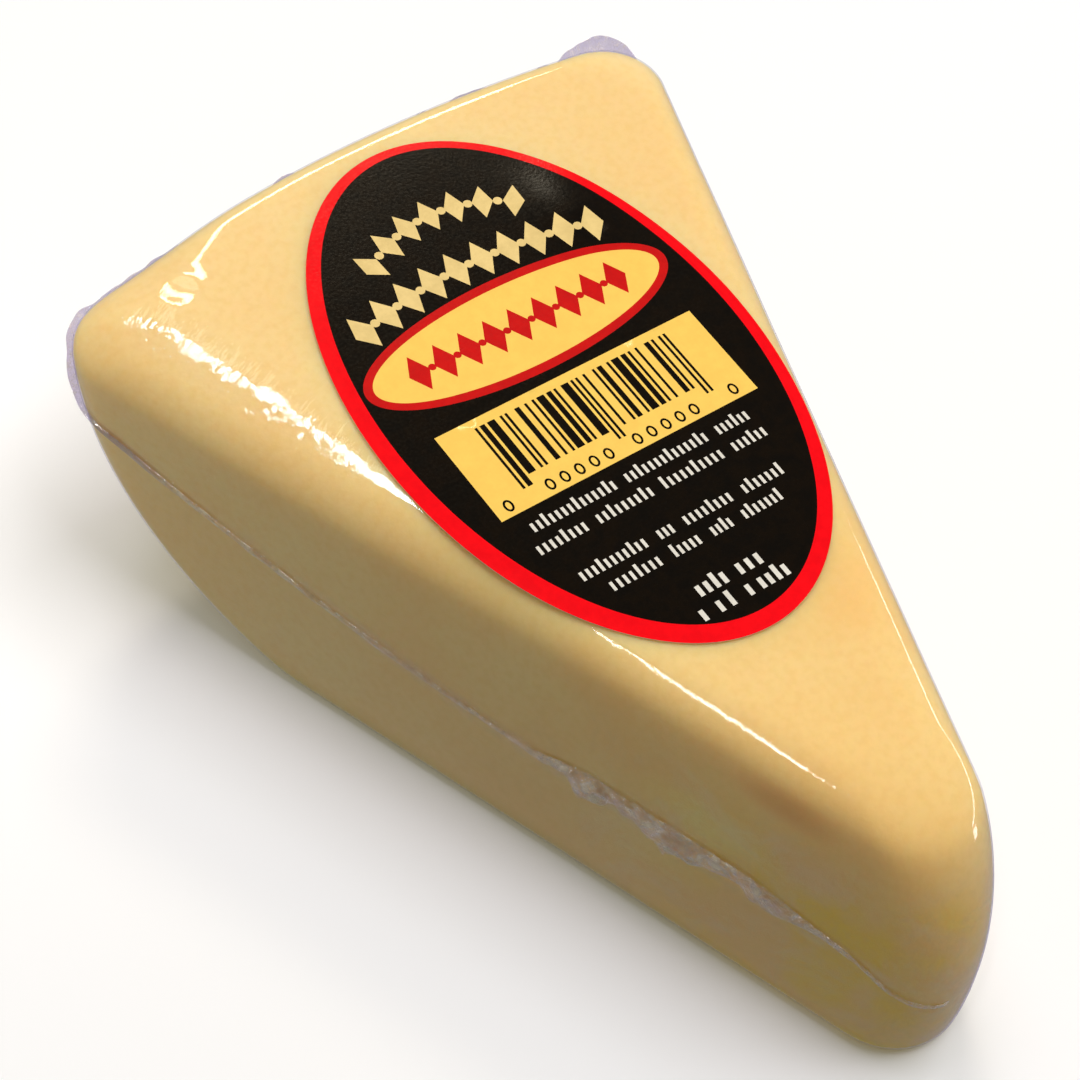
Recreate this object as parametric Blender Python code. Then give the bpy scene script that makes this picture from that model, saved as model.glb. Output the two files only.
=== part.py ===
"""A vacuum-packed wedge of cheese, as solids in metres with +Z up.

The wedge lies on its flat base, its tip toward -Y and its rind toward +Y. It was cut from a round
wheel that was first halved level with the table, so its top is a cut face and its rind curves in
under it like the side of the wheel. Clear film is drawn tight round it and sealed in a thin fin that
runs round its sides, and an oval label lies on top. The solids are the wrapped wedge, the fin and
the label. The origin is at the middle of the box round all three, at the height of the base.
"""

import math

import bmesh
import bpy
from mathutils import Vector
from mathutils.bvhtree import BVHTree

MM = 0.001

# The wedge, measured from the sharp corner where its two cut sides would meet.
HEIGHT = 39.0 * MM
SIDE_ANGLE = math.radians(18.85)
RIM_REACH = 139.8 * MM
RIM_RADIUS = 222.0 * MM

# Its rounded edges and corners. The sides spread a little from top to base.
TOP_EDGE = 4.0 * MM
BASE_EDGE = 2.2 * MM
RIM_TOP_EDGE = 2.8 * MM
SIDE_SPREAD = 2.1 * MM
TIP_ROUND = 8.4 * MM
CORNER_ROUND = 6.6 * MM
CORNER_SOFTENING = 3.0 * MM
SOFTENED_DEPTH = 4.0 * MM

# The rind curves in by UNDERCUT down to the base, and the tip is drawn in at top and base.
UNDERCUT = 43.0 * MM
TIP_TOP_INSET = 12.0 * MM
TIP_TOP_DEPTH = 27.0 * MM
TIP_BASE_INSET = 1.4 * MM
TIP_BASE_DEPTH = 11.0 * MM

# Its top slumps at this slope towards its left edge and its left rind corner, from a soft bend this
# far from the cut side or the rind. The bend draws nearer to the edge away from that corner.
SLUMP_SLOPE = 0.33
SLUMP_SOFTNESS = 0.9 * MM
SLUMP_SIDE_NEAR = 4.4 * MM
SLUMP_SIDE_FAR = 9.0 * MM
SLUMP_RIM_NEAR = 1.0 * MM
SLUMP_RIM_FAR = 6.5 * MM

# How finely the wedge is faceted.
TIP_STEPS = 12
SIDE_STEPS = 10
CORNER_STEPS = 9
RIM_STEPS = 14
TOP_LEVELS = 7
LOWER_LEVELS = 19
TOP_SHARES = (0.95, 0.90, 0.84, 0.77, 0.68)

# Touching pieces keep this gap.
GAP = 0.3 * MM

# The film's fin: its height above the base at the tip, along the sides and along the rind.
FIN_TIP_HEIGHT = 11.0 * MM
FIN_SIDE_HEIGHT = 17.5 * MM
FIN_CORNER_HEIGHT = 29.0 * MM
FIN_RIM_HEIGHT = 35.0 * MM
FIN_LEVEL_FROM = 30.0 * MM
FIN_LEVEL_TO = 60.0 * MM
FIN_CORNER_FROM = 124.0 * MM
FIN_CORNER_TO = 130.0 * MM

# The fin's reach out from the wedge, in general and at the two corners of the rind.
FIN_REACH = 1.2 * MM
FIN_LEFT_REACH = 1.6 * MM
FIN_RIGHT_REACH = 5.0 * MM
FIN_THICKNESS = 0.5 * MM

# The stretch of the left side where the fin is folded against the film in a crumpled band.
FOLD_MIDDLE = 48.0 * MM
FOLD_LENGTH = 19.0 * MM
FOLD_THICKNESS = 5.0 * MM
FOLD_REACH = 0.9 * MM

# The label: a 2 by 3 1/8 inch oval.
LABEL_WIDTH = 50.8 * MM
LABEL_LENGTH = 79.4 * MM
LABEL_CENTRE = (0.9 * MM, 95.6 * MM)
LABEL_TURN = math.radians(-2.2)
LABEL_THICKNESS = 0.25 * MM
LABEL_LIFT = 0.4 * MM
LABEL_STIFFNESS = 0.7
LABEL_SPOKES = 72
LABEL_RINGS = 9


def clear_scene():
    for obj in list(bpy.data.objects):
        bpy.data.objects.remove(obj, do_unlink=True)


def material(name, colour, roughness, alpha=1.0):
    """A Principled material of one colour."""
    made = bpy.data.materials.new(name)
    made.use_nodes = True
    shader = made.node_tree.nodes["Principled BSDF"]
    shader.inputs["Base Color"].default_value = (*colour, 1.0)
    shader.inputs["Roughness"].default_value = roughness
    shader.inputs["Metallic"].default_value = 0.0
    shader.inputs["Alpha"].default_value = alpha
    made.diffuse_color = (*colour, 1.0)
    return made


def ellipse_inset(along, length, depth):
    """How far a quarter ellipse has drawn in, from 0 at its start to depth at its length."""
    share = min(max(along / length, 0.0), 1.0)
    return depth * (1.0 - math.sqrt(1.0 - share * share))


def round_inset(along, radius):
    return ellipse_inset(along, radius, radius)


def arc(centre, radius, start, stop, steps):
    """Points on a circle, both ends included."""
    turns = [start + (stop - start) * i / steps for i in range(steps + 1)]
    return [centre + radius * Vector((math.cos(turn), math.sin(turn))) for turn in turns]


def outline(depth):
    """The wedge's outline at this depth below its top, anticlockwise from the left of its tip."""
    below = HEIGHT - depth
    spread = SIDE_SPREAD * (depth / HEIGHT - 0.2)
    side_inset = round_inset(TOP_EDGE - depth, TOP_EDGE) + round_inset(BASE_EDGE - below, BASE_EDGE) - spread
    rim_inset = round_inset(RIM_TOP_EDGE - depth, RIM_TOP_EDGE) + ellipse_inset(depth, HEIGHT, UNDERCUT)
    tip_inset = ellipse_inset(TIP_TOP_DEPTH - depth, TIP_TOP_DEPTH, TIP_TOP_INSET)
    tip_inset += ellipse_inset(TIP_BASE_DEPTH - below, TIP_BASE_DEPTH, TIP_BASE_INSET)

    tip_radius = TIP_ROUND - 0.5 * side_inset
    tip_centre = Vector((0.0, (side_inset + tip_radius) / math.sin(SIDE_ANGLE) + tip_inset))
    tip = arc(tip_centre, tip_radius, SIDE_ANGLE - math.pi, -SIDE_ANGLE, TIP_STEPS)

    softening = max(1.0 - depth / SOFTENED_DEPTH, 0.0) ** 2
    corner_radius = CORNER_ROUND + CORNER_SOFTENING * softening - 0.5 * side_inset
    rim_middle = RIM_REACH - RIM_RADIUS
    rim_radius = RIM_RADIUS - rim_inset
    corner = corner_centre(side_inset + corner_radius, rim_middle, rim_radius - corner_radius)
    lean = math.atan2(corner.y - rim_middle, corner.x)
    right = arc(corner, corner_radius, -SIDE_ANGLE, lean, CORNER_STEPS)
    rim = arc(Vector((0.0, rim_middle)), rim_radius, lean, math.pi - lean, RIM_STEPS)
    left = [Vector((-point.x, point.y)) for point in reversed(right)]
    return tip + between(tip[-1], right[0]) + right + rim[1:-1] + left + between(left[-1], tip[0])


def corner_centre(from_side, rim_middle, from_rim_middle):
    """The point this far inside the right side and this far from the middle of the rim's arc."""
    slope = math.tan(SIDE_ANGLE)
    offset = from_side / math.cos(SIDE_ANGLE)
    a = slope * slope + 1.0
    b = -2.0 * slope * offset - 2.0 * rim_middle
    c = offset * offset + rim_middle * rim_middle - from_rim_middle * from_rim_middle
    y = (-b + math.sqrt(b * b - 4.0 * a * c)) / (2.0 * a)
    return Vector((y * slope - offset, y))


def between(first, last):
    """Points that divide the line between two points, without its ends."""
    return [first.lerp(last, i / SIDE_STEPS) for i in range(1, SIDE_STEPS)]


def levels():
    """Depths of the outlines: close together round the top edge and where the rind turns under."""
    quarter = math.pi / 2.0
    top = [TOP_EDGE * (1.0 - math.cos(quarter * i / TOP_LEVELS)) for i in range(TOP_LEVELS)]
    start = math.asin(TOP_EDGE / HEIGHT)
    lower = [start + (quarter - start) * i / LOWER_LEVELS for i in range(LOWER_LEVELS + 1)]
    return top + [HEIGHT * math.sin(turn) for turn in lower]


def solid_of_rings(name, rings, closed_round, skin):
    """A closed object through rings of points. It ends in caps, or joins its last ring to its first."""
    mesh = bmesh.new()
    loops = [[mesh.verts.new(point) for point in ring] for ring in rings]
    following = loops[1:] + loops[:1] if closed_round else loops[1:]
    for ring, after in zip(loops, following):
        for i, vertex in enumerate(ring):
            j = (i + 1) % len(ring)
            mesh.faces.new((vertex, ring[j], after[j], after[i]))
    if not closed_round:
        mesh.faces.new(loops[0])
        mesh.faces.new(loops[-1])
    bmesh.ops.recalc_face_normals(mesh, faces=mesh.faces)
    data = bpy.data.meshes.new(name)
    mesh.to_mesh(data)
    mesh.free()
    data.shade_smooth()
    data.set_sharp_from_angle(angle=math.radians(35.0))
    data.materials.append(skin)
    made = bpy.data.objects.new(name, data)
    bpy.context.scene.collection.objects.link(made)
    return made


def share(value, start, stop):
    """How far a value has come from start to stop, from 0 to 1."""
    return min(max((value - start) / (stop - start), 0.0), 1.0)


def eased(value, start, stop):
    """The same, with a gentle start and end."""
    come = share(value, start, stop)
    return come * come * (3.0 - 2.0 * come)


def slump(x, y, z):
    """How far the soft chamfer of the left edge and the left rind corner lowers a point."""
    from_side = x * math.cos(SIDE_ANGLE) + y * math.sin(SIDE_ANGLE)
    from_rim = RIM_RADIUS - math.hypot(x, y - (RIM_REACH - RIM_RADIUS))
    towards_rind = eased(y, 64.0 * MM, 116.0 * MM)
    towards_middle = eased(x, -34.0 * MM, -14.0 * MM)
    side_bend = SLUMP_SIDE_NEAR + (SLUMP_SIDE_FAR - SLUMP_SIDE_NEAR) * towards_rind
    rim_bend = SLUMP_RIM_FAR + (SLUMP_RIM_NEAR - SLUMP_RIM_FAR) * towards_middle
    side_part = math.exp((side_bend - from_side) / SLUMP_SOFTNESS) * eased(y, 58.0 * MM, 96.0 * MM)
    rim_part = math.exp((rim_bend - from_rim) / SLUMP_SOFTNESS) * eased(x, -6.0 * MM, -22.0 * MM)
    drop = SLUMP_SLOPE * SLUMP_SOFTNESS * math.log1p(side_part + rim_part)
    return drop * share(z, 0.0, HEIGHT) ** 2


def make_wedge():
    """Rings down the wedge from the middle of its top, which stays flat, to its base."""
    top = outline(0.0)
    middle = sum(top, Vector((0.0, 0.0))) / len(top)
    flat = [middle + TOP_SHARES[-1] * (point - middle) for point in top]
    rings = [[(point.x, point.y, HEIGHT) for point in flat]]
    for reach in reversed(TOP_SHARES[:-1]):
        ring = [middle + reach * (point - middle) for point in top]
        rings.append([(point.x, point.y, HEIGHT - slump(point.x, point.y, HEIGHT)) for point in ring])
    for depth in levels():
        level = HEIGHT - depth
        ring = outline(depth)
        rings.append([(point.x, point.y, level - slump(point.x, point.y, level)) for point in ring])
    film_over_cheese = material("film_over_cheese", (0.78, 0.52, 0.20), 0.25)
    return solid_of_rings("wrapped_cheese", rings, False, film_over_cheese)


def fin_height(y):
    """The fin dips at the tip, runs level along the sides, climbs to the rind and lies high on it."""
    dip = share(y, FIN_LEVEL_FROM, 0.5 * FIN_LEVEL_FROM) ** 2
    climb = share(y, FIN_LEVEL_TO, FIN_CORNER_FROM) ** 2
    corner = share(y, FIN_CORNER_FROM, FIN_CORNER_TO)
    height = FIN_SIDE_HEIGHT + (FIN_TIP_HEIGHT - FIN_SIDE_HEIGHT) * dip
    height += (FIN_CORNER_HEIGHT - FIN_SIDE_HEIGHT) * climb
    return height + (FIN_RIM_HEIGHT - FIN_CORNER_HEIGHT) * corner


def fin_section(point, outward, height, middle):
    """The four corners of the fin's section at a point of the wedge's outline."""
    across = abs(middle.x) / (RIM_REACH * math.sin(SIDE_ANGLE))
    at_corner = share(middle.y, FIN_LEVEL_TO, FIN_CORNER_TO) ** 4 * min(across, 1.0) ** 4
    corner_reach = FIN_LEFT_REACH if middle.x < 0.0 else FIN_RIGHT_REACH
    reach = FIN_REACH + (corner_reach - FIN_REACH) * at_corner
    on_left = share(-middle.x, 1.0 * MM, 4.0 * MM)
    fold = on_left * math.exp(-(((middle.y - FOLD_MIDDLE) / FOLD_LENGTH) ** 4))
    reach += (FOLD_REACH - FIN_REACH) * fold
    thickness = FIN_THICKNESS + (FOLD_THICKNESS - FIN_THICKNESS) * fold
    clearance = GAP + SIDE_SPREAD * 0.5 * thickness / HEIGHT
    near = point + outward * clearance
    far = near + outward * reach
    sunk = height - slump(point.x, point.y, height)
    low_edge = sunk - 0.5 * thickness
    high_edge = sunk + 0.5 * thickness
    return [
        (near.x, near.y, high_edge),
        (far.x, far.y, high_edge),
        (far.x, far.y, low_edge),
        (near.x, near.y, low_edge),
    ]


def make_fin():
    """The fin follows the wedge's outline at its own changing height."""
    sections = []
    level_outline = outline(HEIGHT - FIN_SIDE_HEIGHT)
    count = len(level_outline)
    for i, middle in enumerate(level_outline):
        height = fin_height(middle.y)
        ring = outline(HEIGHT - height)
        along = ring[(i + 1) % count] - ring[i - 1]
        outward = Vector((along.y, -along.x)).normalized()
        sections.append(fin_section(ring[i], outward, height, middle))
    clear_film = material("clear_film", (0.62, 0.60, 0.66), 0.2, 0.5)
    return solid_of_rings("seal_fin", sections, True, clear_film)


def make_label(wedge):
    """A thin oval sheet, laid on the wedge by dropping each of its points onto the top."""
    graph = bpy.context.evaluated_depsgraph_get()
    surface = BVHTree.FromObject(wedge, graph)
    mesh = bmesh.new()
    sheets = []
    for lift in (LABEL_LIFT, LABEL_LIFT + LABEL_THICKNESS):
        middle = mesh.verts.new(dropped(surface, 0.0, 0.0, lift))
        rings = []
        for ring in range(1, LABEL_RINGS + 1):
            reach = ring / LABEL_RINGS
            spokes = [math.tau * i / LABEL_SPOKES for i in range(LABEL_SPOKES)]
            points = [dropped(surface, reach, turn, lift) for turn in spokes]
            rings.append([mesh.verts.new(point) for point in points])
        sheets.append((middle, rings))
    for middle, rings in sheets:
        for i in range(LABEL_SPOKES):
            j = (i + 1) % LABEL_SPOKES
            mesh.faces.new((middle, rings[0][i], rings[0][j]))
            for inner, outer in zip(rings, rings[1:]):
                mesh.faces.new((inner[i], outer[i], outer[j], inner[j]))
    lower, upper = sheets[0][1][-1], sheets[1][1][-1]
    for i in range(LABEL_SPOKES):
        j = (i + 1) % LABEL_SPOKES
        mesh.faces.new((lower[i], lower[j], upper[j], upper[i]))
    bmesh.ops.recalc_face_normals(mesh, faces=mesh.faces)
    data = bpy.data.meshes.new("label")
    mesh.to_mesh(data)
    mesh.free()
    data.shade_smooth()
    data.set_sharp_from_angle(angle=math.radians(35.0))
    data.materials.append(material("label_paper", (0.02, 0.015, 0.008), 0.3))
    made = bpy.data.objects.new("label", data)
    bpy.context.scene.collection.objects.link(made)
    return made


def dropped(surface, reach, turn, lift):
    """A point of the oval, this share of the way out along a spoke, lifted off the wedge's top.

    The label is stiff, so it falls less than the wedge does towards its rounded edges.
    """
    x = 0.5 * LABEL_WIDTH * reach * math.cos(turn)
    y = 0.5 * LABEL_LENGTH * reach * math.sin(turn)
    across = x * math.cos(LABEL_TURN) - y * math.sin(LABEL_TURN) + LABEL_CENTRE[0]
    along = x * math.sin(LABEL_TURN) + y * math.cos(LABEL_TURN) + LABEL_CENTRE[1]
    hit, _normal, _face, _distance = surface.ray_cast(
        Vector((across, along, 2.0 * HEIGHT)), Vector((0.0, 0.0, -1.0))
    )
    held_up = LABEL_STIFFNESS * (HEIGHT - hit.z)
    return Vector((across, along, hit.z + held_up + lift))


def centre_on_origin(pieces):
    """Moves the pieces together, so that the box round them is centred over the origin."""
    corners = [Vector(corner) for piece in pieces for corner in piece.bound_box]
    for axis in (0, 1):
        values = [corner[axis] for corner in corners]
        middle = 0.5 * (min(values) + max(values))
        for piece in pieces:
            piece.location[axis] = -middle


def main():
    clear_scene()
    wedge = make_wedge()
    pieces = [wedge, make_fin(), make_label(wedge)]
    centre_on_origin(pieces)


main()
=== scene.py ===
import math

import bmesh
import bpy
import numpy as np
from mathutils import Matrix, Vector, noise
from mathutils.bvhtree import BVHTree
from mathutils.geometry import delaunay_2d_cdt


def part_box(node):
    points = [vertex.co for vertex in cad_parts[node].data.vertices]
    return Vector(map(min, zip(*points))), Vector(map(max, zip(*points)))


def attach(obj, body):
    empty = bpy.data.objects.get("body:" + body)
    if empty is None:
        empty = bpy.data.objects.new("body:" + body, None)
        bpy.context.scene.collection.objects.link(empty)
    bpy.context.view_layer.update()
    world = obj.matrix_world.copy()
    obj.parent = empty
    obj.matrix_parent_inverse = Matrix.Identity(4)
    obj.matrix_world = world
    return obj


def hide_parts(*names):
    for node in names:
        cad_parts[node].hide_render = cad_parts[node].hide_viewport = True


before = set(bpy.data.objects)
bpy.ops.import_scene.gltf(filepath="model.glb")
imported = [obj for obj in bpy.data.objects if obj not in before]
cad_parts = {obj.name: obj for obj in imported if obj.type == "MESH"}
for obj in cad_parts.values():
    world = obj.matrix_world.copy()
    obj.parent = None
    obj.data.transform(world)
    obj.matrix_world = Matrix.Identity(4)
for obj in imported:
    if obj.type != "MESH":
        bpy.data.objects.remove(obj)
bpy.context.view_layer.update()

# Lengths in this script are millimetres, and a mesh is scaled to metres as it is made. The wedge is
# worked out from the sharp corner where its two cut sides would meet, with its rind toward +Y.
MM = 0.001

# The wedge, as in the CAD.
HEIGHT = 39.0
SIDE_ANGLE = math.radians(18.85)
RIM_REACH = 139.8
RIM_RADIUS = 222.0
TOP_EDGE = 4.0
BASE_EDGE = 2.2
RIM_TOP_EDGE = 2.8
SIDE_SPREAD = 2.1
TIP_ROUND = 8.4
CORNER_ROUND = 6.6
CORNER_SOFTENING = 3.0
SOFTENED_DEPTH = 4.0
UNDERCUT = 43.0
TIP_TOP_INSET = 12.0
TIP_TOP_DEPTH = 27.0
TIP_BASE_INSET = 1.4
TIP_BASE_DEPTH = 11.0

# The top slumps towards its left edge and its left rind corner.
SLUMP_SLOPE = 0.33
SLUMP_SOFTNESS = 0.9

# The fin of sealed film: its height above the base round the wedge.
FIN_TIP_HEIGHT = 11.0
FIN_SIDE_HEIGHT = 17.5
FIN_CORNER_HEIGHT = 29.0
FIN_RIM_HEIGHT = 35.0
FIN_LEVEL_FROM = 30.0
FIN_LEVEL_TO = 60.0
FIN_CORNER_FROM = 124.0
FIN_CORNER_TO = 130.0

# The label.
LABEL_WIDTH = 50.8
LABEL_LENGTH = 79.4
LABEL_CENTRE = (0.9, 95.6)
LABEL_TURN = math.radians(-2.2)
LABEL_GIVE = 0.25
BORDER_STIFFNESS = 0.7

# The camera, from the middle of the wedge.
CAMERA_AIM = (-5.5, 10.8, 0.0)
CAMERA_DISTANCE = 327.6
CAMERA_AZIMUTH = -49.18
CAMERA_ELEVATION = 55.34
CAMERA_ROLL = 13.39
CAMERA_LENS = 90.15

# How far off the lamps stand, in metres.
LAMP_DISTANCE = 2.0


# ---------------------------------------------------------------------------- the wedge's surface


def ellipse_inset(along, length, depth):
    """How far a quarter ellipse has drawn in, from 0 at its start to depth at its length."""
    share = min(max(along / length, 0.0), 1.0)
    return depth * (1.0 - math.sqrt(1.0 - share * share))


def arc(centre, radius, start, stop, steps):
    turns = np.linspace(start, stop, steps + 1)
    return centre + radius * np.stack([np.cos(turns), np.sin(turns)], axis=1)


def corner_centre(from_side, rim_middle, from_rim_middle):
    """The point this far inside the right side and this far from the middle of the rim's arc."""
    slope = math.tan(SIDE_ANGLE)
    offset = from_side / math.cos(SIDE_ANGLE)
    a = slope * slope + 1.0
    b = -2.0 * slope * offset - 2.0 * rim_middle
    c = offset * offset + rim_middle * rim_middle - from_rim_middle * from_rim_middle
    y = (-b + math.sqrt(b * b - 4.0 * a * c)) / (2.0 * a)
    return np.array([y * slope - offset, y])


def outline(depth, steps):
    """The wedge's outline at this depth below its top, anticlockwise from the left of its tip."""
    tip_steps, side_steps, corner_steps, rim_steps = steps
    below = HEIGHT - depth
    spread = SIDE_SPREAD * (depth / HEIGHT - 0.2)
    side_inset = ellipse_inset(TOP_EDGE - depth, TOP_EDGE, TOP_EDGE)
    side_inset += ellipse_inset(BASE_EDGE - below, BASE_EDGE, BASE_EDGE) - spread
    rim_inset = ellipse_inset(RIM_TOP_EDGE - depth, RIM_TOP_EDGE, RIM_TOP_EDGE)
    rim_inset += ellipse_inset(depth, HEIGHT, UNDERCUT)
    tip_inset = ellipse_inset(TIP_TOP_DEPTH - depth, TIP_TOP_DEPTH, TIP_TOP_INSET)
    tip_inset += ellipse_inset(TIP_BASE_DEPTH - below, TIP_BASE_DEPTH, TIP_BASE_INSET)

    tip_radius = TIP_ROUND - 0.5 * side_inset
    tip_centre = np.array([0.0, (side_inset + tip_radius) / math.sin(SIDE_ANGLE) + tip_inset])
    tip = arc(tip_centre, tip_radius, SIDE_ANGLE - math.pi, -SIDE_ANGLE, tip_steps)

    softening = max(1.0 - depth / SOFTENED_DEPTH, 0.0) ** 2
    corner_radius = CORNER_ROUND + CORNER_SOFTENING * softening - 0.5 * side_inset
    rim_middle = RIM_REACH - RIM_RADIUS
    rim_radius = RIM_RADIUS - rim_inset
    corner = corner_centre(side_inset + corner_radius, rim_middle, rim_radius - corner_radius)
    lean = math.atan2(corner[1] - rim_middle, corner[0])
    right = arc(corner, corner_radius, -SIDE_ANGLE, lean, corner_steps)
    rim = arc(np.array([0.0, rim_middle]), rim_radius, lean, math.pi - lean, rim_steps)
    left = right[::-1] * (-1.0, 1.0)
    inner = np.linspace(0.0, 1.0, side_steps + 1)[1:-1, None]
    right_side = tip[-1] + inner * (right[0] - tip[-1])
    left_side = left[-1] + inner * (tip[0] - left[-1])
    return np.concatenate([tip, right_side, right, rim[1:-1], left, left_side])


def wedge_rings(steps, top_rings, edge_rings, side_rings, base_rings):
    """Rings of points over the whole wedge, from the middle of its base up to the middle of its top."""
    quarter = math.pi / 2.0
    edge = TOP_EDGE * (1.0 - np.cos(quarter * np.arange(edge_rings) / edge_rings))
    start = math.asin(TOP_EDGE / HEIGHT)
    lower = HEIGHT * np.sin(np.linspace(start, quarter, side_rings))
    rings = []
    for depth in np.concatenate([edge, lower]):
        flat = outline(depth, steps)
        rings.append(np.column_stack([flat, np.full(len(flat), HEIGHT - depth)]))
    rings.reverse()
    base, top = rings[0], rings[-1]
    base_middle, top_middle = base.mean(axis=0), top.mean(axis=0)
    inward = 1.0 - np.linspace(0.0, 1.0, base_rings + 2)[1:-1]
    lower_cap = [base_middle + share * (base - base_middle) for share in inward[::-1]]
    inward = 1.0 - np.linspace(0.0, 1.0, top_rings + 2)[1:-1] ** 1.25
    upper_cap = [top_middle + share * (top - top_middle) for share in inward]
    return np.array(lower_cap + rings + upper_cap), base_middle, top_middle


def smooth_step(value, start, stop):
    share = np.clip((value - start) / (stop - start), 0.0, 1.0)
    return share * share * (3.0 - 2.0 * share)


def wavy(points, size, seed):
    """Smooth noise from -1 to 1 at each point, with waves of about this size."""
    places = points / size + np.array([17.3, 5.1, 9.7]) * seed
    return np.array([noise.noise(Vector(place)) for place in places])


def slumped(points):
    """The points with the soft chamfer of the top's left edge and left rind corner, which lie lower."""
    x, y, z = points.T
    from_side = x * math.cos(SIDE_ANGLE) + y * math.sin(SIDE_ANGLE)
    from_rim = RIM_RADIUS - np.hypot(x, y - (RIM_REACH - RIM_RADIUS))
    side_bend = 4.4 + 4.6 * smooth_step(y, 64.0, 116.0)
    rim_bend = 6.5 - 5.5 * smooth_step(x, -34.0, -14.0)
    side_part = np.exp((side_bend - from_side) / SLUMP_SOFTNESS) * smooth_step(y, 58.0, 96.0)
    rim_part = np.exp((rim_bend - from_rim) / SLUMP_SOFTNESS) * smooth_step(x, -6.0, -22.0)
    drop = SLUMP_SLOPE * SLUMP_SOFTNESS * np.log1p(side_part + rim_part)
    share = np.clip(z / HEIGHT, 0.0, 1.0) ** 2
    return points - np.column_stack([0.0 * x, 0.0 * y, drop * share])


def grid_mesh(name, rings, first_middle, last_middle):
    """A closed mesh through rings of points with a point at each end."""
    rows, columns = rings.shape[:2]
    points = np.concatenate([rings.reshape(-1, 3), [first_middle, last_middle]])
    row = np.arange(rows - 1)[:, None] * columns
    here = np.arange(columns)[None, :]
    after = (here + 1) % columns
    quads = np.stack([row + here, row + after, row + columns + after, row + columns + here], axis=-1)
    low, high = rows * columns, rows * columns + 1
    last = (rows - 1) * columns
    faces = quads.reshape(-1, 4).tolist()
    faces += [[low, (i + 1) % columns, i] for i in range(columns)]
    faces += [[high, last + i, last + (i + 1) % columns] for i in range(columns)]
    data = bpy.data.meshes.new(name)
    data.from_pydata((points * MM).tolist(), [], faces)
    data.shade_smooth()
    return data


def normals_of(data):
    found = np.empty(len(data.vertices) * 3, np.float32)
    data.vertex_normals.foreach_get("vector", found)
    return found.reshape(-1, 3).astype(float)


def points_of(data):
    found = np.empty(len(data.vertices) * 3, np.float32)
    data.vertices.foreach_get("co", found)
    return found.reshape(-1, 3).astype(float) / MM


def set_points(data, points):
    data.vertices.foreach_set("co", (points * MM).astype(np.float32).ravel())
    data.update()


# The CAD wedge says where this frame's corner lies in the row frame.
CAD_LOW, CAD_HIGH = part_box("wrapped_cheese")
LEVEL_STEPS = (48, 8, 24, 40)
WIDEST = np.concatenate([outline(depth, LEVEL_STEPS) for depth in np.linspace(0.0, HEIGHT, 200)])
SHIFT = np.array(
    [
        0.5 * (CAD_LOW[0] + CAD_HIGH[0]) / MM - 0.5 * (WIDEST[:, 0].min() + WIDEST[:, 0].max()),
        0.5 * (CAD_LOW[1] + CAD_HIGH[1]) / MM - 0.5 * (WIDEST[:, 1].min() + WIDEST[:, 1].max()),
        CAD_LOW[2] / MM,
    ]
)
MIDDLE = np.array([0.5 * (low + high) / MM for low, high in zip(CAD_LOW, CAD_HIGH)])


def add_piece(name, data, node, skin=None):
    made = bpy.data.objects.new(name, data)
    bpy.context.scene.collection.objects.link(made)
    if skin is not None:
        data.materials.append(skin)
    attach(made, "root")
    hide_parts(node)
    return made


# ------------------------------------------------------------------------------------- materials


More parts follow.
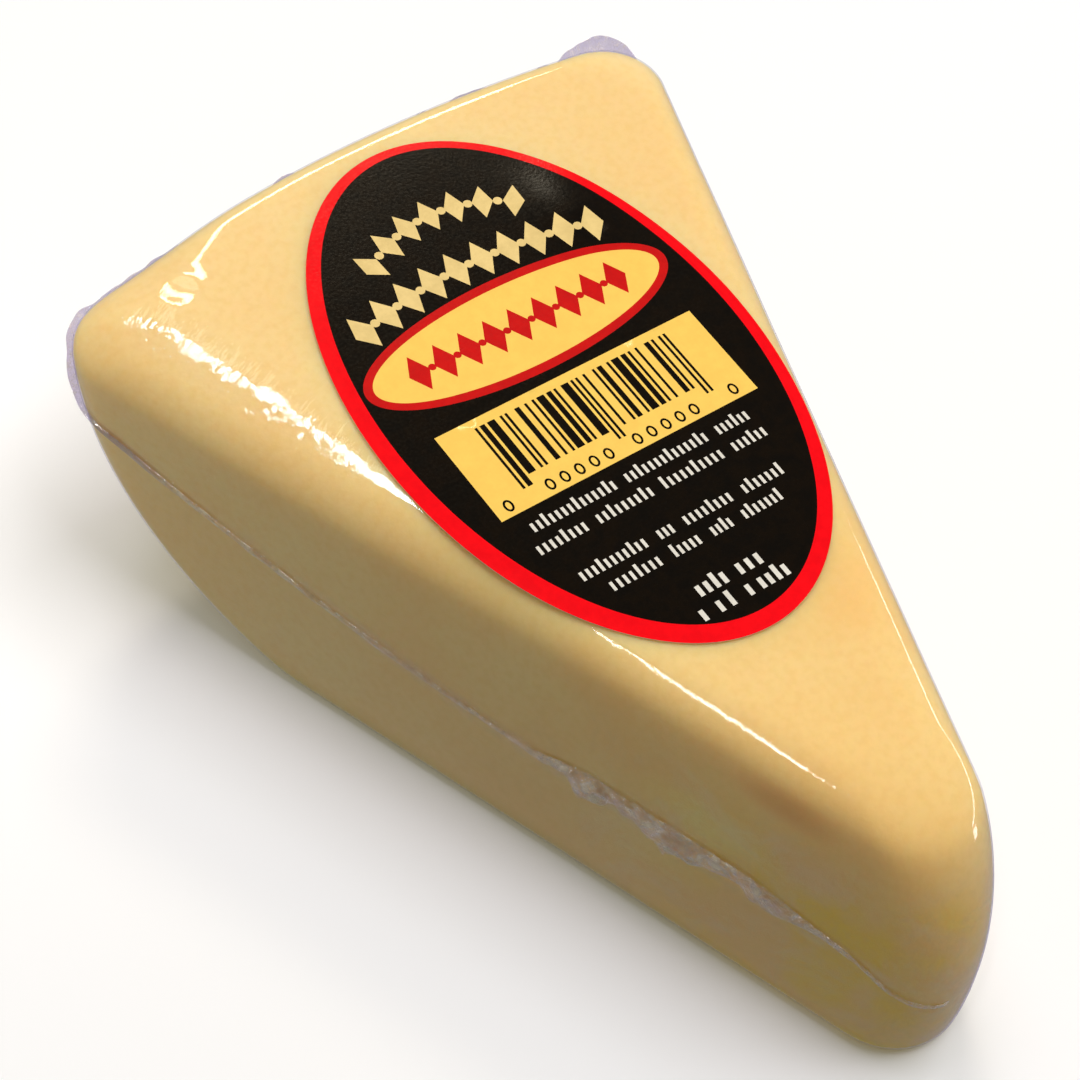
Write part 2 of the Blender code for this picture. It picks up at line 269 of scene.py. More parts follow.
class Nodes:
    """A material's node tree, built a node at a time."""

    def __init__(self, name):
        self.material = bpy.data.materials.new(name)
        self.material.use_nodes = True
        self.tree = self.material.node_tree
        self.tree.nodes.clear()
        self.output = self.tree.nodes.new("ShaderNodeOutputMaterial")

    def add(self, kind, inputs=None, **settings):
        node = self.tree.nodes.new(kind)
        for setting, value in settings.items():
            setattr(node, setting, value)
        for socket, value in (inputs or {}).items():
            self.give(node.inputs[socket], value)
        return node

    def give(self, socket, value):
        if isinstance(value, bpy.types.NodeSocket):
            self.tree.links.new(value, socket)
        elif isinstance(value, tuple) and len(value) == 3 and socket.type == "RGBA":
            socket.default_value = (*value, 1.0)
        else:
            socket.default_value = value

    def place(self):
        return self.add("ShaderNodeTexCoord").outputs["Object"]

    def noise(self, scale, detail=2.0, roughness=0.5, distortion=0.0):
        """Noise whose waves are about 1 / scale metres long."""
        settings = {"Vector": self.place(), "Scale": scale, "Detail": detail}
        settings |= {"Roughness": roughness, "Distortion": distortion}
        return self.add("ShaderNodeTexNoise", settings).outputs["Fac"]

    def ramp(self, value, low, high, to_low=0.0, to_high=1.0):
        inputs = {"Value": value, "From Min": low, "From Max": high, "To Min": to_low, "To Max": to_high}
        return self.add("ShaderNodeMapRange", inputs, interpolation_type="SMOOTHSTEP").outputs["Result"]

    def mix(self, share, first, second):
        node = self.add("ShaderNodeMix", data_type="RGBA")
        self.give(node.inputs["Factor"], share)
        self.give(node.inputs[6], first)
        self.give(node.inputs[7], second)
        return node.outputs[2]

    def maths(self, operation, first, second):
        node = self.add("ShaderNodeMath", operation=operation)
        self.give(node.inputs[0], first)
        self.give(node.inputs[1], second)
        return node.outputs[0]

    def spot(self, centre, reach):
        """A soft spot: 1 at its centre and 0 past its reach along each axis, all in metres."""
        off = self.add("ShaderNodeVectorMath", {0: self.place(), 1: centre}, operation="SUBTRACT").outputs[0]
        off = self.add("ShaderNodeVectorMath", {0: off, 1: reach}, operation="DIVIDE").outputs[0]
        far = self.add("ShaderNodeVectorMath", {0: off}, operation="LENGTH").outputs["Value"]
        return self.ramp(far, 1.0, 0.2)

    def bump(self, height, distance, strength=1.0):
        inputs = {"Height": height, "Distance": distance, "Strength": strength}
        return self.add("ShaderNodeBump", inputs).outputs["Normal"]

    def outer_gloss(self, normal):
        """The share of light that film mirrors on its outer side. It lets light out freely from inside."""
        mirrored = self.add("ShaderNodeFresnel", {"IOR": 1.5, "Normal": normal}).outputs["Fac"]
        inside = self.add("ShaderNodeNewGeometry").outputs["Backfacing"]
        return self.maths("MULTIPLY", mirrored, self.maths("SUBTRACT", 1.0, inside))

    def shade(self, shader):
        self.tree.links.new(shader.outputs[0], self.output.inputs["Surface"])
        return self.material


def cheese_material():
    """Pale, slightly translucent cheese, with faint clouds and a fine close grain, and painted light and shade near the
    tip.
    """
    made = Nodes("cheese")
    clouds = made.ramp(made.noise(45.0, 3.0), 0.3, 0.7)
    rind = made.mix(clouds, (0.94, 0.635, 0.27), (0.965, 0.68, 0.315))
    tip = made.mix(clouds, (0.92, 0.565, 0.19), (0.98, 0.65, 0.265))
    place = made.add("ShaderNodeSeparateXYZ", {"Vector": made.place()}).outputs
    colour = made.mix(made.ramp(place["Y"], -0.05, 0.04), tip, rind)
    # Painted light: yellow patches low on the tip, mostly on its left side, brighter where light would shine through
    # the thin cheese.
    patches = made.ramp(made.noise(85.0, 2.0), 0.34, 0.54)
    low = made.maths("MULTIPLY", made.ramp(place["Y"], -0.02, -0.05), made.ramp(place["Z"], 0.034, 0.022))
    low = made.maths("MULTIPLY", low, made.ramp(place["X"], 0.003, -0.004, 0.15, 1.0))
    colour = made.mix(made.maths("MULTIPLY", patches, low), colour, (1.0, 0.60, 0.05))
    # Painted shade: a dark streak on the left side near the tip, where a shallow hollow would be shaded.
    painted_dent_shade = made.maths("MULTIPLY", made.spot((-0.0140, -0.0395, 0.0335), (0.0065, 0.0095, 0.0032)), 0.8)
    colour = made.mix(painted_dent_shade, colour, (0.78, 0.40, 0.11))
    # Painted light: a brighter patch below that streak, where the hollow's lower side would catch light.
    painted_dent_light = made.maths("MULTIPLY", made.spot((-0.0165, -0.0325, 0.0240), (0.0075, 0.0125, 0.0045)), 0.8)
    colour = made.mix(painted_dent_light, colour, (1.0, 0.71, 0.25))
    # Painted shade: darker and greener along the base near the tip, where it meets the floor.
    foot = made.maths("MULTIPLY", made.ramp(place["Z"], 0.005, -0.001, 0.0, 0.8), made.ramp(place["Y"], -0.05, -0.03))
    colour = made.mix(foot, colour, (0.62, 0.47, 0.16))
    grain = made.ramp(made.noise(900.0, 3.0), 0.35, 0.75, 0.0, 0.3)
    colour = made.mix(grain, colour, (0.86, 0.54, 0.17))
    fine = made.noise(1500.0, 3.0)
    shader = made.add(
        "ShaderNodeBsdfPrincipled",
        {
            "Base Color": colour,
            "Roughness": 0.45,
            "Specular IOR Level": 0.15,
            "Subsurface Weight": 1.0,
            "Subsurface Radius": (1.0, 0.75, 0.5),
            "Subsurface Scale": 0.004,
            "Normal": made.bump(fine, 0.00004),
        },
    )
    return made.shade(shader)


def film_material():
    """Clear tight film: see-through, with a sharp gloss that fine wrinkles break up."""
    made = Nodes("clear_film")
    place = made.add("ShaderNodeSeparateXYZ", {"Vector": made.place()}).outputs
    fine = made.noise(700.0, 3.0)
    from_left = made.maths("MULTIPLY", place["X"], math.cos(SIDE_ANGLE))
    from_left = made.maths("ADD", from_left, made.maths("MULTIPLY", place["Y"], math.sin(SIDE_ANGLE)))
    wrinkled = made.maths("MULTIPLY", made.ramp(place["Y"], 0.008, 0.03), made.ramp(from_left, -0.011, -0.015))
    turned = {"Vector": made.place(), "Scale": (1.0, 5.0, 1.0), "Rotation": (0.0, 0.0, 0.5 * math.pi + SIDE_ANGLE)}
    across = made.add("ShaderNodeMapping", turned, vector_type="TEXTURE").outputs["Vector"]
    spikes = {"Vector": across, "Scale": 1500.0, "Detail": 2.0, "Roughness": 0.5}
    spiked = made.add("ShaderNodeTexNoise", spikes).outputs["Fac"]
    smooth_share = made.maths("ADD", 0.12, made.maths("MULTIPLY", wrinkled, 0.35))
    spiked_share = made.maths("MULTIPLY", wrinkled, 0.75)
    height = made.maths("ADD", made.maths("MULTIPLY", fine, smooth_share), made.maths("MULTIPLY", spiked, spiked_share))
    normal = made.bump(height, 0.00009)
    rough = made.ramp(wrinkled, 0.0, 1.0, 0.06, 0.075)
    gloss = made.add("ShaderNodeBsdfGlossy", {"Roughness": rough, "Normal": normal, "Color": (1.0, 1.0, 1.0)})
    facing = made.add("ShaderNodeLayerWeight", {"Blend": 0.5}).outputs["Facing"]
    tint = made.mix(made.ramp(facing, 0.80, 0.98), (1.0, 1.0, 1.0), (0.66, 0.62, 0.76))
    clear = made.add("ShaderNodeBsdfTransparent", {"Color": tint})
    milky = made.add("ShaderNodeBsdfDiffuse", {"Color": (0.90, 0.83, 0.80), "Normal": normal})
    haze = made.ramp(made.noise(110.0, 4.0, 0.6, 0.6), 0.42, 0.70, 0.0, 0.2)
    haze = made.maths("MULTIPLY", haze, made.ramp(place["Y"], 0.0, -0.03))
    haze = made.maths("MULTIPLY", haze, made.ramp(place["Z"], 0.034, 0.027))
    climb = made.maths("MAXIMUM", made.maths("MULTIPLY", made.maths("ADD", place["Y"], 0.0176), 1.0 / 0.064), 0.0)
    line = made.maths("ADD", made.maths("MULTIPLY", made.maths("MULTIPLY", climb, climb), 0.0115), 0.0168)
    off_line = made.maths("ABSOLUTE", made.maths("SUBTRACT", place["Z"], line), 0.0)
    by_fin = made.maths("MULTIPLY", made.ramp(off_line, 0.0022, 0.0004), made.ramp(made.noise(260.0), 0.3, 0.7, 0.05, 0.30))
    by_fin = made.maths("MULTIPLY", by_fin, made.ramp(place["X"], 0.004, -0.004))
    by_fin = made.maths("MULTIPLY", by_fin, made.ramp(place["Y"], 0.04, 0.01))
    haze = made.maths("MAXIMUM", haze, by_fin)
    body = made.add("ShaderNodeMixShader", {0: haze, 1: clear.outputs[0], 2: milky.outputs[0]})
    share = made.maths("MULTIPLY", made.outer_gloss(normal), made.ramp(place["Z"], 0.0, 0.004))
    mixed = made.add("ShaderNodeMixShader", {0: share, 1: body.outputs[0], 2: gloss.outputs[0]})
    return made.shade(mixed)


def fin_material():
    """Sealed film: crumpled and hazy, with a violet tint where it stands out at the rind."""
    made = Nodes("sealed_film")
    place = made.add("ShaderNodeSeparateXYZ", {"Vector": made.place()}).outputs
    streaks = made.noise(1300.0, 4.0, 0.65)
    at_rind = made.ramp(place["Y"], 0.036, 0.048)
    normal = made.bump(streaks, 0.0005, made.ramp(place["Y"], 0.01, -0.01, 0.12, 1.0))
    violet = made.mix(made.ramp(streaks, 0.35, 0.65), (0.70, 0.67, 0.78), (0.76, 0.73, 0.84))
    pale = made.mix(made.ramp(streaks, 0.35, 0.65), (0.90, 0.88, 0.86), (1.0, 0.99, 0.98))
    clear = made.add("ShaderNodeBsdfTransparent", {"Color": made.mix(at_rind, pale, violet)})
    milky = made.add("ShaderNodeBsdfDiffuse", {"Color": (1.0, 0.93, 0.84), "Normal": normal})
    gloss = made.add("ShaderNodeBsdfGlossy", {"Roughness": 0.07, "Normal": normal, "Color": (1.0, 1.0, 1.0)})
    patches = made.ramp(made.noise(420.0, 4.0, 0.6), 0.42, 0.66, 0.0, 0.42)
    haze = made.mix(at_rind, patches, made.ramp(streaks, 0.35, 0.7, 0.04, 0.26))
    body = made.add("ShaderNodeMixShader", {0: haze, 1: clear.outputs[0], 2: milky.outputs[0]})
    share = made.maths("MULTIPLY", made.outer_gloss(normal), 1.2)
    mixed = made.add("ShaderNodeMixShader", {0: share, 1: body.outputs[0], 2: gloss.outputs[0]})
    return made.shade(mixed)


def ink_material(name, colour, other):
    """Gloss label paper printed in one ink, with faint mottling of the ink."""
    made = Nodes(name)
    mottle = made.ramp(made.noise(600.0, 4.0, 0.6), 0.3, 0.7)
    shade = made.mix(mottle, colour, other)
    paper = made.noise(2500.0, 2.0)
    shader = made.add(
        "ShaderNodeBsdfPrincipled",
        {
            "Base Color": shade,
            "Roughness": made.ramp(paper, 0.3, 0.7, 0.12, 0.17),
            "Specular IOR Level": 0.09,
            "Normal": made.bump(paper, 0.00001),
        },
    )
    return made.shade(shader)


# --------------------------------------------------------------------------- the cheese and film


def wedge_relief(points):
    """The slight unevenness of the whole wedge, with a low swelling under the label."""
    swelling = np.hypot(points[:, 0] - 17.4, 0.8 * (points[:, 1] - 115.5)) / 5.0
    relief = 0.07 * wavy(points, 24.0, 1) + 0.02 * wavy(points, 8.0, 2)
    return relief + 0.4 * np.exp(-swelling * swelling) * smooth_step(points[:, 2], 30.0, 38.0)


def make_cheese():
    rings, low, high = wedge_rings((16, 70, 12, 50), 30, 8, 36, 6)
    data = grid_mesh("cheese", rings, low, high)
    points, normals = slumped(points_of(data)), normals_of(data)
    relief = wedge_relief(points)
    set_points(data, points + normals * (relief - 0.14)[:, None] + SHIFT)
    return add_piece("cheese", data, "wrapped_cheese", cheese_material())


def film_relief(points):
    """How far the film stands off its smooth shape at each point."""
    x, y, z = points.T
    from_side = x * math.cos(SIDE_ANGLE) + y * math.sin(SIDE_ANGLE)
    near_edge = smooth_step(np.abs(from_side - 6.5), 8.0, 2.0)
    near_rind = smooth_step(y, 84.0, 108.0)
    on_top = smooth_step(z, 31.0, 36.0)
    rough = near_edge * near_rind * on_top
    relief = wedge_relief(points)
    relief += rough * (0.024 * wavy(points, 2.6, 3) + 0.034 * wavy(points, 1.3, 4))
    dimple = np.hypot(x + 29.8, y - 130.4)
    relief += on_top * 0.18 * np.exp(-(((dimple - 2.5) / 1.1) ** 2))
    for bump_x, bump_y in ((-32.2, 128.0), (-33.3, 126.2)):
        relief += on_top * 0.09 * np.exp(-(((x - bump_x) ** 2 + (y - bump_y) ** 2) / 1.3))
    kink = np.hypot(x + 17.0, y - 63.2)
    relief -= on_top * 0.02 * np.exp(-((kink / 1.5) ** 2))
    return relief * smooth_step(z, 0.0, 3.0)


def make_film():
    rings, low, high = wedge_rings((28, 240, 22, 90), 60, 14, 56, 8)
    data = grid_mesh("film", rings, low, high)
    points, normals = slumped(points_of(data)), normals_of(data)
    relief = film_relief(points)
    set_points(data, points + normals * relief[:, None] + SHIFT)
    return add_piece("film", data, "wrapped_cheese", film_material())


# -------------------------------------------------------------------------------------- the fin


def fin_height(y):
    dip = np.clip((FIN_LEVEL_FROM - y) / (0.5 * FIN_LEVEL_FROM), 0.0, 1.0) ** 2
    climb = np.clip((y - FIN_LEVEL_TO) / (FIN_CORNER_FROM - FIN_LEVEL_TO), 0.0, 1.0) ** 2
    corner = np.clip((y - FIN_CORNER_FROM) / (FIN_CORNER_TO - FIN_CORNER_FROM), 0.0, 1.0)
    height = FIN_SIDE_HEIGHT + (FIN_TIP_HEIGHT - FIN_SIDE_HEIGHT) * dip
    height += (FIN_CORNER_HEIGHT - FIN_SIDE_HEIGHT) * climb
    return height + (FIN_RIM_HEIGHT - FIN_CORNER_HEIGHT) * corner


def fin_width(x, y):
    """How wide the fin is at each place round the wedge, and how far it lies folded down."""
    on_left = smooth_step(-x, 1.0, 4.0) * smooth_step(y, 128.0, 118.0)
    at_tip = smooth_step(y, 34.0, 24.0)
    folded = np.maximum(on_left, at_tip)
    crumpled = on_left * smooth_step(y, 68.0, 58.0) * smooth_step(y, 27.0, 39.0)
    along_left = 1.0 + 4.0 * crumpled
    at_rim = smooth_step(y, 118.0, 130.0)
    right_ear = np.exp(-((np.hypot(x - 42.5, y - 130.5) / 8.0) ** 2))
    left_teeth = smooth_step(x, -10.0, -22.0)
    along_rim = (1.05 + 0.45 * left_teeth) * (1.0 - right_ear) + 4.8 * right_ear
    width = 0.35 + (along_rim - 0.35) * at_rim
    return width * (1.0 - on_left) + along_left * on_left, folded, crumpled, right_ear, at_rim


def make_fin():
    """The fin: a thin ribbon of sealed film round the wedge, folded down along the left cut side."""
    steps = (40, 280, 40, 220)
    level = outline(HEIGHT - FIN_SIDE_HEIGHT, steps)
    count = len(level)
    x, y = level.T
    width, folded, crumpled, right_ear, at_rim = fin_width(x, y)
    heights = fin_height(y) + 0.5 * folded * width
    foot = np.empty((count, 3))
    outward = np.empty((count, 3))
    for i in range(count):
        ring = outline(HEIGHT - heights[i], steps)
        along = ring[(i + 1) % count] - ring[i - 1]
        out = np.array([along[1], -along[0]]) / np.hypot(*along)
        foot[i] = (*ring[i], heights[i])
        outward[i] = (*out, 0.0)
    foot = slumped(foot)
    ragged = 0.9 * wavy(foot, 7.0, 11) + 0.5 * wavy(foot, 2.4, 12)
    sunk = smooth_step(x, -2.5, 0.5) * smooth_step(y, 40.0, 30.0)
    torn = (1.0 - right_ear) * (0.25 + 0.2 * at_rim)
    torn = torn + 0.35 * crumpled
    width = width * np.clip(1.0 + torn * 1.6 * ragged, 0.15, 3.0)
    lean = 0.35 * wavy(foot, 9.0, 13) + 0.55 * at_rim
    down = np.array([0.0, 0.0, -1.0])
    half = 0.06
    shares = np.linspace(0.0, 1.0, 26)
    front, rear = [], []
    for share in shares:
        place = foot + down * (share * width)[:, None]
        pleats = place * (0.45, 0.45, 1.0)
        crumple = 0.62 * wavy(pleats, 1.25, 14) + 0.22 * wavy(place, 0.8, 15)
        edge = math.sin(math.pi * (0.06 + 0.92 * share)) ** 0.6
        lift = 0.08 + (0.15 + 0.32 * crumpled) * edge + crumple * (0.2 + 0.8 * crumpled) * edge
        lying = outward * (lift * folded)[:, None] + down * (share * width * folded)[:, None]
        reach = (share * width - 0.15) * (1.0 - folded) - 0.9 * sunk
        rise = lean * reach * share * (1.0 - folded)
        ripple = 0.12 * wavy(foot, 1.8, 16) * share * (1.0 - folded)
        middle = foot + lying + outward * reach[:, None] - down * (rise + ripple)[:, None]
        across = outward * folded[:, None] - down * (1.0 - folded)[:, None]
        front.append(middle + across * half)
        rear.append(middle - across * half)
    rings = np.array(front + rear[::-1])
    rows = len(rings)
    points = rings.reshape(-1, 3) + SHIFT
    row = np.arange(rows)[:, None] * count
    following = ((np.arange(rows) + 1) % rows)[:, None] * count
    here = np.arange(count)[None, :]
    after = (here + 1) % count
    quads = np.stack([row + here, following + here, following + after, row + after], axis=-1).reshape(-1, 4)
    data = bpy.data.meshes.new("seal_fin")
    data.from_pydata((points * MM).tolist(), [], quads.tolist())
    data.shade_smooth()
    mesh = bmesh.new()
    mesh.from_mesh(data)
    bmesh.ops.recalc_face_normals(mesh, faces=mesh.faces)
    mesh.to_mesh(data)
    mesh.free()
    return add_piece("film_fin", data, "seal_fin", fin_material())


# ------------------------------------------------------------------------------------ the label


def oval(centre, half_width, half_length, steps=120):
    turns = np.linspace(0.0, math.tau, steps, endpoint=False)
    flat = np.stack([half_width * np.cos(turns), half_length * np.sin(turns)], axis=1)
    return flat + np.array(centre)


def rectangle(left, right, low, high):
    return np.array([(left, low), (right, low), (right, high), (left, high)])


def lozenge(centre, width, height, turn=0.0):
    flat = np.array([(0.5 * width, 0.0), (0.0, 0.5 * height), (-0.5 * width, 0.0), (0.0, -0.5 * height)])
    cos, sin = math.cos(turn), math.sin(turn)
    return flat @ np.array([(cos, sin), (-sin, cos)]) + np.array(centre)


def ticks(left, lengths, base, height, width, gap):
    """Groups of small upright ticks, some of them tall, in place of a line of print."""
    shapes = []
    for length in lengths:
        count = max(round(length / (2.1 * width)), 1)
        pitch = length / count
        for i in range(count):
            tall = 1.4 if (3 * i + count) % 5 == 0 else 1.0
            at = left + i * pitch
            shapes.append(rectangle(at, at + width, base, base + height * tall))
        left += length + gap
    return shapes


def arched_lozenges(count, span, crown, low_middle, width, height):
    """Lozenges along an arch, with a dot between each two."""
    shapes = []
    for i in range(count):
        share = 2.0 * i / (count - 1) - 1.0
        u = 0.5 * span * share
        v = low_middle + crown * (1.0 - share * share)
        turn = math.atan2(-4.0 * crown * share, span)
        shapes.append(lozenge((u, v), width, height, turn))
        if i + 1 < count:
            share = 2.0 * (i + 0.5) / (count - 1) - 1.0
            u = 0.5 * span * share
            v = low_middle + crown * (1.0 - share * share)
            shapes.append(oval((u, v), 0.6, 0.6, 12))
    return shapes


def code_bars(left, right, low, high, long_low):
    """Plain bars in four changing widths, with longer pairs at both ends and in the middle."""
    pattern = (1, 1, 2, 1, 3, 2, 1, 1, 1, 3, 2, 2, 1, 2, 1, 1, 3, 1, 2, 1, 1, 2, 3, 1, 1, 1)
    pattern += (1, 2, 1, 3, 1, 1, 2, 2, 1, 1, 3, 1, 2, 1, 1, 2, 1, 3, 2, 1, 1, 2, 1, 1, 1)
    module = (right - left) / sum(pattern)
    bars = []
    at = left
    middle = len(pattern) // 2
    for i, width in enumerate(pattern):
        if i % 2 == 0:
            guard = min(i, abs(i - middle), len(pattern) - 1 - i) < 3
            bars.append(rectangle(at, at + width * module, long_low if guard else low, high))
        at += width * module
    return bars


def label_print():
    """The print as (ink, outline) pairs, each over those before it."""
    half_width, half_length = 0.5 * LABEL_WIDTH, 0.5 * LABEL_LENGTH
    shapes = [("red", oval((0.0, 0.0), half_width, half_length, 200))]
    shapes.append(("black", oval((0.35, 0.55), half_width - 1.9, half_length - 1.75, 200)))
    shapes += [("cream", shape) for shape in arched_lozenges(7, 21.0, 3.2, 25.2, 2.7, 5.0)]
    shapes += [("cream", shape) for shape in arched_lozenges(10, 33.5, 2.4, 17.4, 3.0, 5.6)]
    middle = (-0.1, 9.2)
    shapes.append(("dark_red", oval(middle, 21.8, 7.2)))
    shapes.append(("yellow", oval(middle, 20.6, 6.0)))
    shapes += [("dark_red", lozenge((-0.1 + 3.6 * i, 9.2), 2.9, 5.4)) for i in range(-4, 5)]
    shapes += [("dark_red", oval((-0.1 + 3.6 * (i + 0.5), 9.2), 0.5, 0.5, 12)) for i in range(-4, 4)]
    shapes.append(("yellow", rectangle(-18.36, 19.06, -12.83, 0.62)))
    shapes += [("black", shape) for shape in code_bars(-13.6, 14.3, -9.0, -0.6, -10.4)]
    for u in [-16.4, 16.4] + [start + 2.1 * i for start in (-10.5, 2.1) for i in range(5)]:
        shapes.append(("black", oval((u, -11.4), 0.62, 0.85, 16)))
        shapes.append(("yellow", oval((u, -11.4), 0.33, 0.55, 16)))
    small = [
        (-15.9, (12.2, 12.2, 5.0), -15.9, 1.25, 0.42, 1.2),
        (-17.1, (7.2, 8.2, 9.2, 5.2), -18.8, 1.25, 0.42, 1.2),
        (-15.0, (9.6, 2.4, 7.2, 6.2), -24.1, 1.25, 0.42, 1.4),
        (-12.8, (7.4, 4.2, 3.2, 6.0), -26.9, 1.25, 0.42, 1.4),
        (-4.8, (4.6, 4.0), -32.6, 1.5, 0.62, 1.2),
        (-6.4, (1.4, 3.2, 0.8, 4.6), -35.4, 1.5, 0.62, 1.0),
    ]
    for left, lengths, base, height, width, gap in small:
        shapes += [("white", tick) for tick in ticks(left, lengths, base, height, width, gap)]
    return shapes


INKS = {
    "red": ((0.95, 0.003, 0.008), (0.86, 0.002, 0.007)),
    "black": ((0.006, 0.0032, 0.0005), (0.0032, 0.0022, 0.0006)),
    "cream": ((0.84, 0.62, 0.26), (0.74, 0.54, 0.22)),
    "dark_red": ((0.62, 0.008, 0.007), (0.54, 0.007, 0.007)),
    "yellow": ((0.95, 0.62, 0.13), (0.93, 0.58, 0.12)),
    "white": ((0.78, 0.74, 0.68), (0.70, 0.66, 0.60)),
}


def make_label():
    """The label: one sheet laid on the wedge, its printed fields cut out of the same mesh."""
    shapes = label_print()
    flat, faces = [], []
    for _ink, shape in shapes:
        faces.append(list(range(len(flat), len(flat) + len(shape))))
        flat += [Vector(point) for point in shape]
    pitch = 1.3
    half_width, half_length = 0.5 * LABEL_WIDTH, 0.5 * LABEL_LENGTH
    for u in np.arange(-half_width, half_width, pitch):
        for v in np.arange(-half_length, half_length, pitch):
            if (u / half_width) ** 2 + (v / half_length) ** 2 < 0.95:
                flat.append(Vector((u + 0.01, v + 0.013)))
    found = delaunay_2d_cdt(flat, [], faces, 1, 1e-4, True)
    places, triangles, owners = found[0], found[2], found[5]
    cos, sin = math.cos(LABEL_TURN), math.sin(LABEL_TURN)
    rings, low, high = wedge_rings((16, 70, 12, 50), 30, 8, 36, 6)
    under = grid_mesh("under_label", rings, low, high)
    points, normals = points_of(under), normals_of(under)
    points += LABEL_GIVE * (slumped(points) - points)
    relief = wedge_relief(points)
    set_points(under, points + normals * relief[:, None])
    mesh = bmesh.new()
    mesh.from_mesh(under)
    surface = BVHTree.FromBMesh(mesh)
    mesh.free()
    bpy.data.meshes.remove(under)
    upper = []
    for place in places:
        x = place.x * cos - place.y * sin + LABEL_CENTRE[0]
        y = place.x * sin + place.y * cos + LABEL_CENTRE[1]
        hit = surface.ray_cast(Vector((x, y, 2.0 * HEIGHT)) * MM, Vector((0.0, 0.0, -1.0)))[0]
        height = hit.z / MM
        upper.append((x, y, height + BORDER_STIFFNESS * max(HEIGHT - 0.1 - height, 0.0) + 0.16))
    upper = np.array(upper)
    lower = upper - (0.0, 0.0, 0.11)
    count = len(upper)
    tops = [list(face) for face in triangles]
    slots = [list(INKS).index(shapes[max(owner)][0]) for owner in owners]
    edges = {}
    for face in tops:
        for i in range(3):
            edges[(face[i], face[(i + 1) % 3])] = True
    rim = [edge for edge in edges if (edge[1], edge[0]) not in edges]
    bottoms = [[count + i for i in reversed(face)] for face in tops]
    skirt = [[b, a, count + a, count + b] for a, b in rim]
    data = bpy.data.meshes.new("label")
    data.from_pydata(((np.concatenate([upper, lower]) + SHIFT) * MM).tolist(), [], tops + bottoms + skirt)
    for ink, (colour, other) in INKS.items():
        data.materials.append(ink_material("ink_" + ink, colour, other))
    white = list(INKS).index("white")
    data.polygons.foreach_set("material_index", slots + [white] * (len(bottoms) + len(skirt)))
    data.shade_smooth()
    data.set_sharp_from_angle(angle=math.radians(40.0))
    data.update()
    return add_piece("label", data, "label")


# ------------------------------------------------------------------------ floor, light, camera


def make_floor():
    data = bpy.data.meshes.new("floor")
    reach = 6.0
    corners = [(-reach, -reach, 0.0), (reach, -reach, 0.0), (reach, reach, 0.0), (-reach, reach, 0.0)]
    data.from_pydata(corners, [], [(0, 1, 2, 3)])
    floor = bpy.data.objects.new("floor", data)
    bpy.context.scene.collection.objects.link(floor)
    made = Nodes("floor")
    colour = made.mix(made.noise(3.0), (0.935, 0.93, 0.975), (0.945, 0.94, 0.985))
    data.materials.append(made.shade(made.add("ShaderNodeBsdfDiffuse", {"Color": colour})))
    floor.visible_diffuse = False
    floor.visible_glossy = False
    floor.visible_shadow = False


def add_lamp(name, toward, wide, high, long_axis, radiance, colour, distance=LAMP_DISTANCE):
    """A soft box in this direction from the wedge, so many degrees wide and high."""
    toward = Vector(toward).normalized()
    data = bpy.data.lights.new(name, "AREA")
    data.shape = "RECTANGLE"
    data.size = 2.0 * distance * math.tan(math.radians(0.5 * wide))
    data.size_y = 2.0 * distance * math.tan(math.radians(0.5 * high))
    data.energy = radiance * data.size * data.size_y * math.pi
    data.color = colour
    lamp = bpy.data.objects.new(name, data)
    bpy.context.scene.collection.objects.link(lamp)
    across = (Vector(long_axis) - toward * Vector(long_axis).dot(toward)).normalized()
    turn = Matrix((across, toward.cross(across), toward)).transposed().to_4x4()
    lamp.matrix_world = Matrix.Translation(Vector(MIDDLE) * MM + toward * distance) @ turn
    return lamp


def light_only(lamp, piece):
    lit = bpy.data.collections.new("lit_by_" + lamp.name)
    lit.objects.link(piece)
    lamp.light_linking.receiver_collection = lit


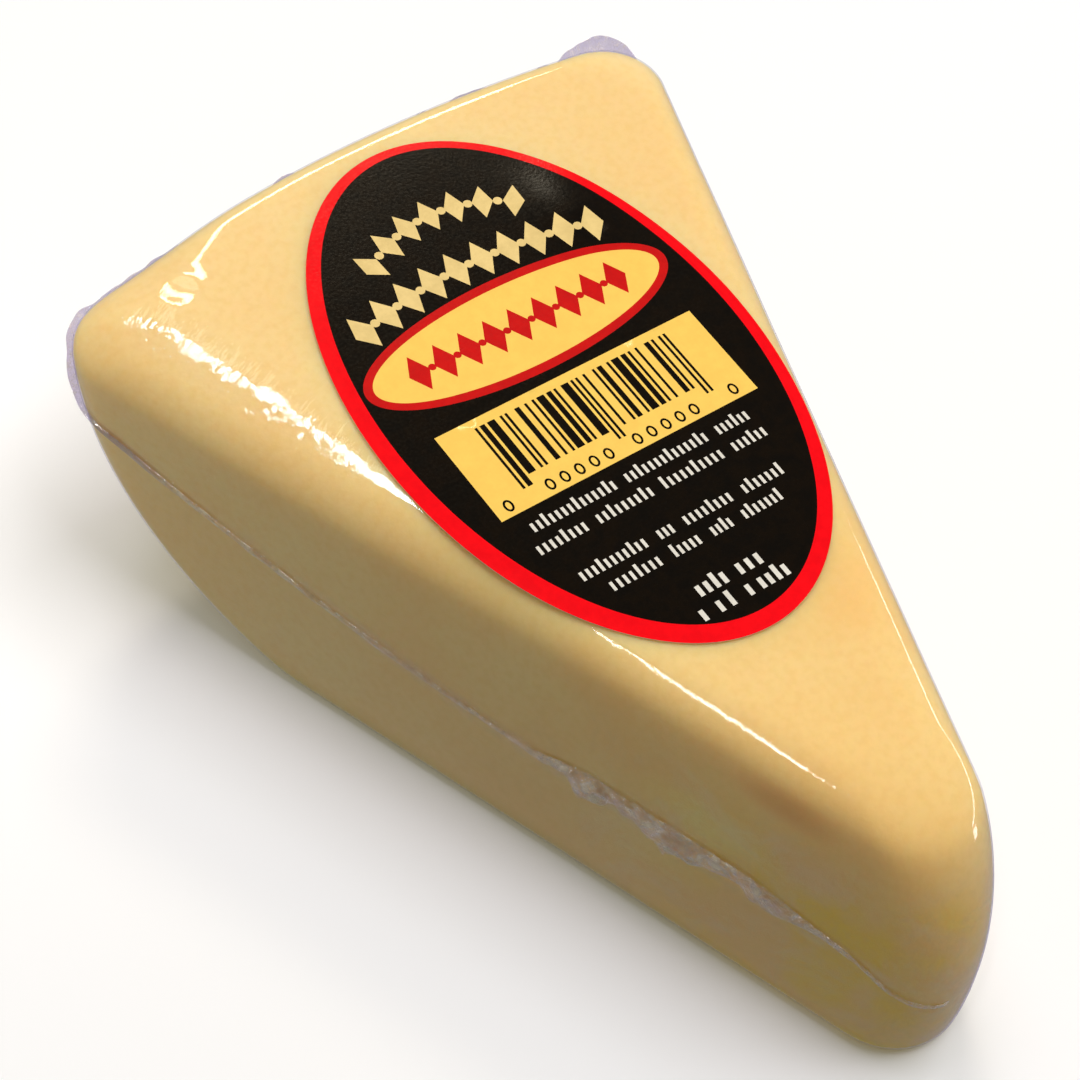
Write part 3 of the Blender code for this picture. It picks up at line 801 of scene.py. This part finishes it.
def make_light(sealed_film, label):
    world = bpy.data.worlds.new("world")
    bpy.context.scene.world = world
    world.use_nodes = True
    tree = world.node_tree
    path = tree.nodes.new("ShaderNodeLightPath")
    blend = tree.nodes.new("ShaderNodeMix")
    blend.data_type = "RGBA"
    blend.inputs[6].default_value = (0.205, 0.218, 0.156, 1.0)
    blend.inputs[7].default_value = (0.34, 0.31, 0.37, 1.0)
    tree.links.new(path.outputs["Is Glossy Ray"], blend.inputs[0])
    tree.links.new(blend.outputs[2], tree.nodes["Background"].inputs["Color"])
    rind = add_lamp("left_rind", (-0.02, 0.35, 0.936), 10.0, 8.0, (-0.32, 0.95, 0.0), 36.0, (0.68, 0.97, 1.05))
    rind.visible_diffuse = False
    warm = add_lamp("warm", (-0.02, 0.35, 0.936), 20.0, 20.0, (1.0, 0.0, 0.0), 4.7, (0.99, 0.90, 1.0))
    warm.visible_glossy = False
    add_lamp("left_tip", (-0.375, -0.03, 0.926), 20.0, 1.1, (-0.235, -0.17, -0.1), 30.0, (1.0, 0.99, 0.97))
    add_lamp("corner", (0.135, 0.505, 0.853), 20.0, 8.0, (0.23, 0.24, -0.185), 2.2, (0.8, 1.0, 0.88))
    add_lamp("behind", (0.394, 0.643, 0.656), 15.0, 7.0, (0.853, -0.522, 0.0), 20.0, (1.0, 0.9, 0.7))
    glare = add_lamp("glare", (0.394, 0.643, 0.656), 15.0, 7.0, (0.853, -0.522, 0.0), 34.0, (1.0, 0.8, 0.5))
    glare.visible_diffuse = False
    light_only(glare, label)
    add_lamp("right", (0.92, -0.26, 0.29), 44.0, 2.0, (0.27, 0.96, 0.0), 12.0, (1.0, 0.95, 0.97))
    glint = add_lamp("tip", (0.77, -0.64, 0.02), 16.0, 6.0, (0.0, 0.2, 1.0), 9.0, (1.0, 0.95, 0.97))
    glint.visible_diffuse = False
    fill = add_lamp("fill", (0.30, -0.05, 0.95), 34.0, 34.0, (1.0, 0.0, 0.0), 4.75, (0.97, 0.96, 0.97))
    fill.visible_glossy = False
    near = add_lamp("left", (-0.74, 0.66, 0.10), 26.0, 26.0, (0.6, 0.75, 0.0), 1.0, (1.0, 0.96, 0.86), 0.12)
    near.visible_glossy = False
    near.visible_camera = False
    spark = add_lamp("spark", (-0.99, -0.09, 0.10), 12.0, 12.0, (0.0, 1.0, 0.0), 60.0, (1.0, 0.98, 0.92))
    spark.visible_diffuse = False
    light_only(spark, sealed_film)


def make_camera():
    data = bpy.data.cameras.new("camera")
    camera = bpy.data.objects.new("camera", data)
    bpy.context.scene.collection.objects.link(camera)
    bpy.context.scene.camera = camera
    azimuth, elevation = math.radians(CAMERA_AZIMUTH), math.radians(CAMERA_ELEVATION)
    back = Vector(
        (
            math.sin(azimuth) * math.cos(elevation),
            -math.cos(azimuth) * math.cos(elevation),
            math.sin(elevation),
        )
    )
    aim = (Vector(MIDDLE) + Vector(CAMERA_AIM)) * MM
    turn = (-back).to_track_quat("-Z", "Y").to_matrix() @ Matrix.Rotation(math.radians(CAMERA_ROLL), 3, "Z")
    camera.matrix_world = Matrix.Translation(aim + back * CAMERA_DISTANCE * MM) @ turn.to_4x4()
    data.lens = CAMERA_LENS
    data.sensor_width = 36.0
    data.clip_start, data.clip_end = 0.01, 20.0


make_cheese()
make_film()
sealed = make_fin()
sticker = make_label()
make_floor()
make_light(sealed, sticker)
make_camera()
bpy.context.scene.view_settings.view_transform = "Standard"
